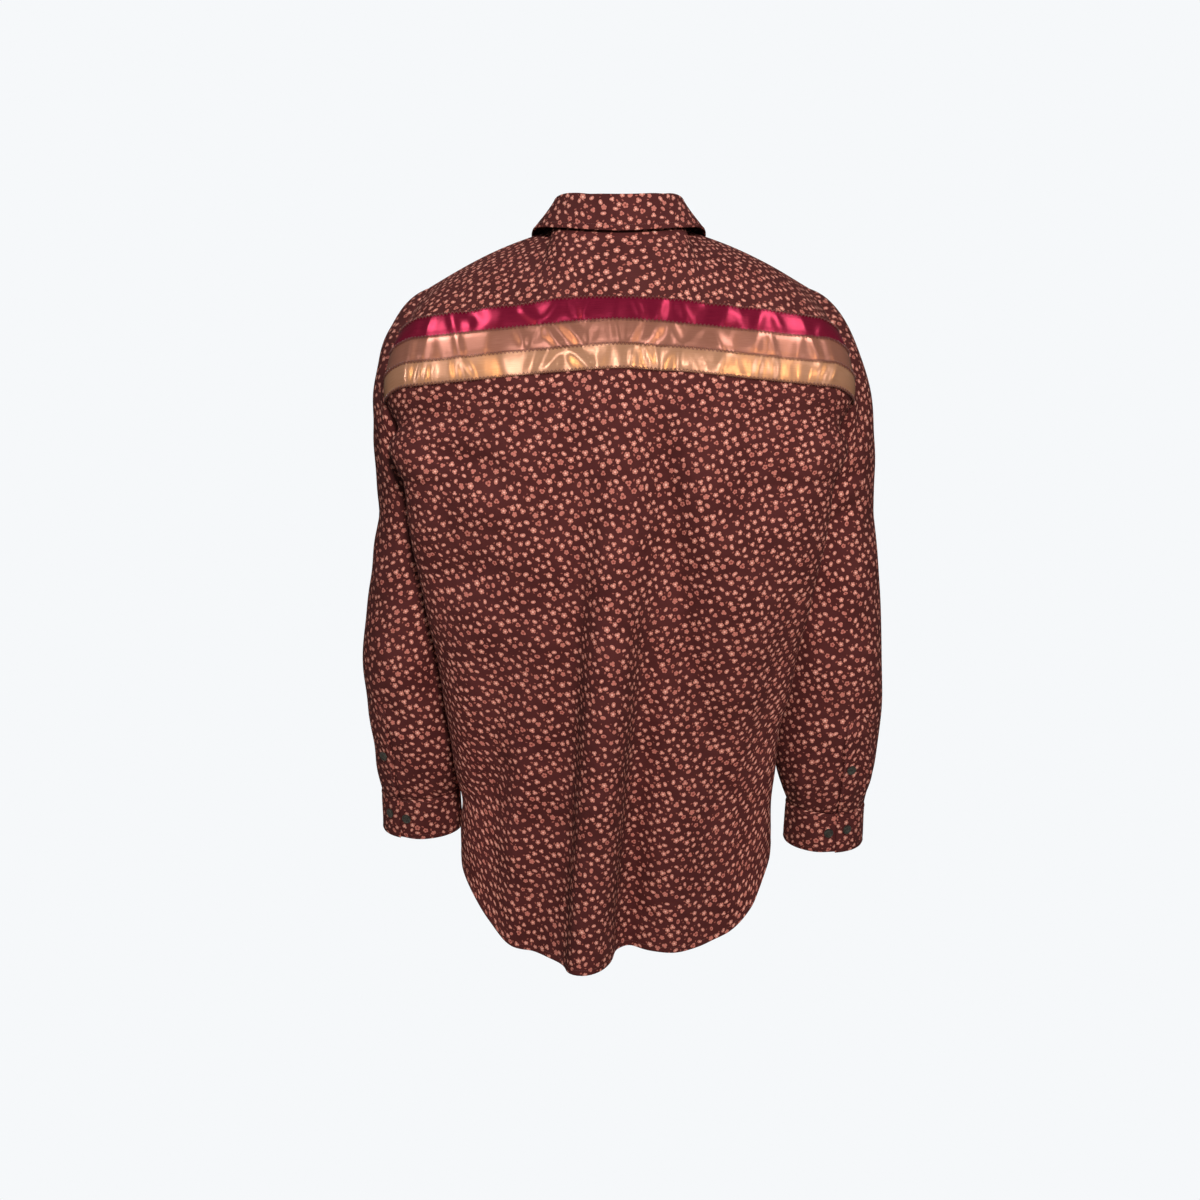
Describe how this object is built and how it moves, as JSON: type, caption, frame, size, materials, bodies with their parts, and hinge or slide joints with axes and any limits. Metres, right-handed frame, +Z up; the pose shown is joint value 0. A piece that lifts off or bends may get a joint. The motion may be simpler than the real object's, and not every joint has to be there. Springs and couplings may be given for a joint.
{
  "type": "ribbon shirt",
  "caption": "Long-sleeved button-front shirt in a small flower print, with satin ribbons sewn across the upper back, shown as worn with nobody in it",
  "frame": {"origin": "the middle of the neck opening, level with the points where the shoulder seams meet the collar, where the wearer's neck and shoulders hold the shirt up", "axes": "+Z up, the front faces -Y, the wearer's left is +X"},
  "size_m": [0.5921, 0.3129, 0.8307],
  "materials": {
    "shirting": "plain-weave cotton, dark red-brown with a tossed coral flower print",
    "ribbon_wine": "wine satin ribbon",
    "ribbon_rose": "dusty rose satin ribbon",
    "ribbon_gold": "champagne gold satin ribbon",
    "button": "dark horn-like polyester"
  },
  "bodies": {
    "root": {"yoke": "shirting", "back": "shirting", "front_left": "shirting", "front_right": "shirting", "sleeve_left": "shirting", "sleeve_right": "shirting", "sleeve_placket_left": "shirting", "sleeve_placket_right": "shirting", "cuff_left": "shirting", "cuff_right": "shirting", "collar_stand": "shirting", "collar_fall": "shirting", "ribbon_wine": "ribbon_wine", "ribbon_rose": "ribbon_rose", "ribbon_gold": "ribbon_gold", "button_front_1": "button", "button_front_2": "button", "button_front_3": "button", "button_front_4": "button", "button_front_5": "button", "button_front_6": "button", "button_stand": "button", "button_cuff_left": "button", "button_cuff_right": "button", "button_cuff_spare_left": "button", "button_cuff_spare_right": "button", "button_placket_left": "button", "button_placket_right": "button"}
  },
  "joints": []
}
